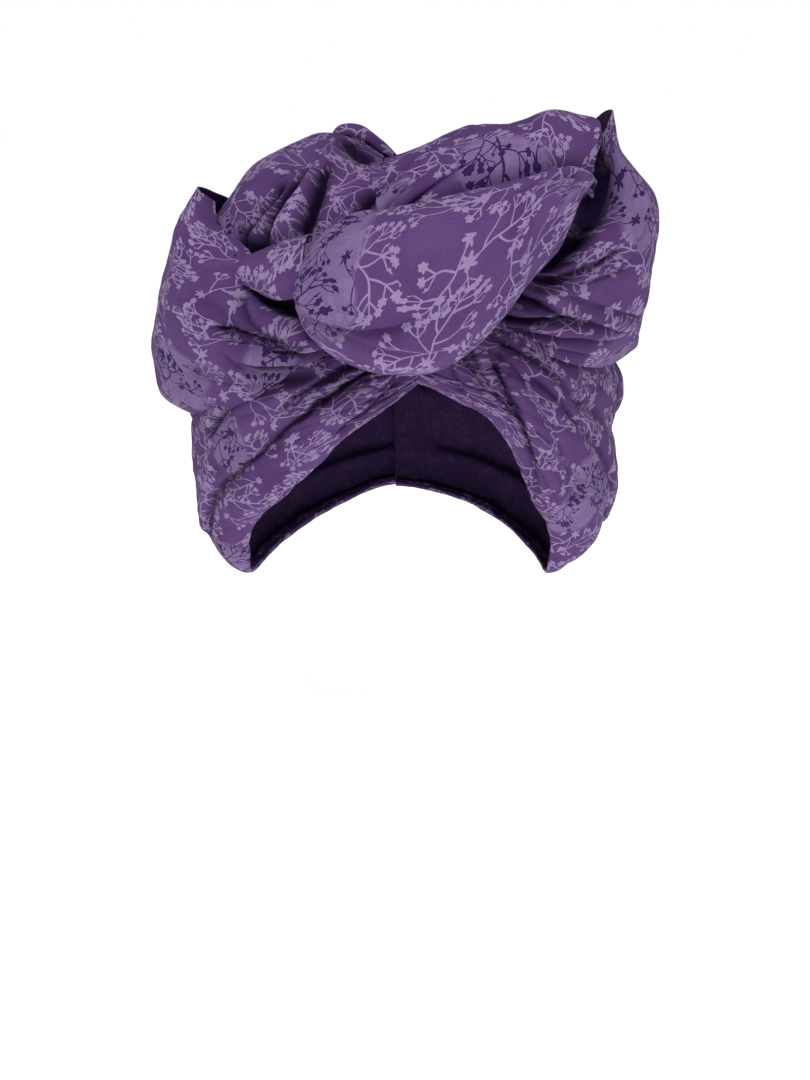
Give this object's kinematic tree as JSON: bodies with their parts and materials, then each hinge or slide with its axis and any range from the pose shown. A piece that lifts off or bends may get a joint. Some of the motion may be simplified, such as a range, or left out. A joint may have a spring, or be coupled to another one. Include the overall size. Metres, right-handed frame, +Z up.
{
  "type": "turban",
  "caption": "Ready-tied cotton turban: side bands and gathered loops wound round a cap, with a broad front knot.",
  "frame": {"origin": "inner top of the cap, where the turban bears on its wearer", "axes": "+Z up, -Y towards the front, +X towards the left ear of the wearer"},
  "size_m": [0.2258, 0.2532, 0.2185],
  "materials": {
    "print_cotton": "matte"
  },
  "bodies": {
    "root": {"cap": "print_cotton", "band_right": "print_cotton", "band_left": "print_cotton", "knot": "print_cotton", "roll_top": "print_cotton", "loop_right": "print_cotton", "puff_left": "print_cotton", "swirl_left": "print_cotton", "crest_left": "print_cotton", "tuck_left": "print_cotton"}
  },
  "joints": []
}
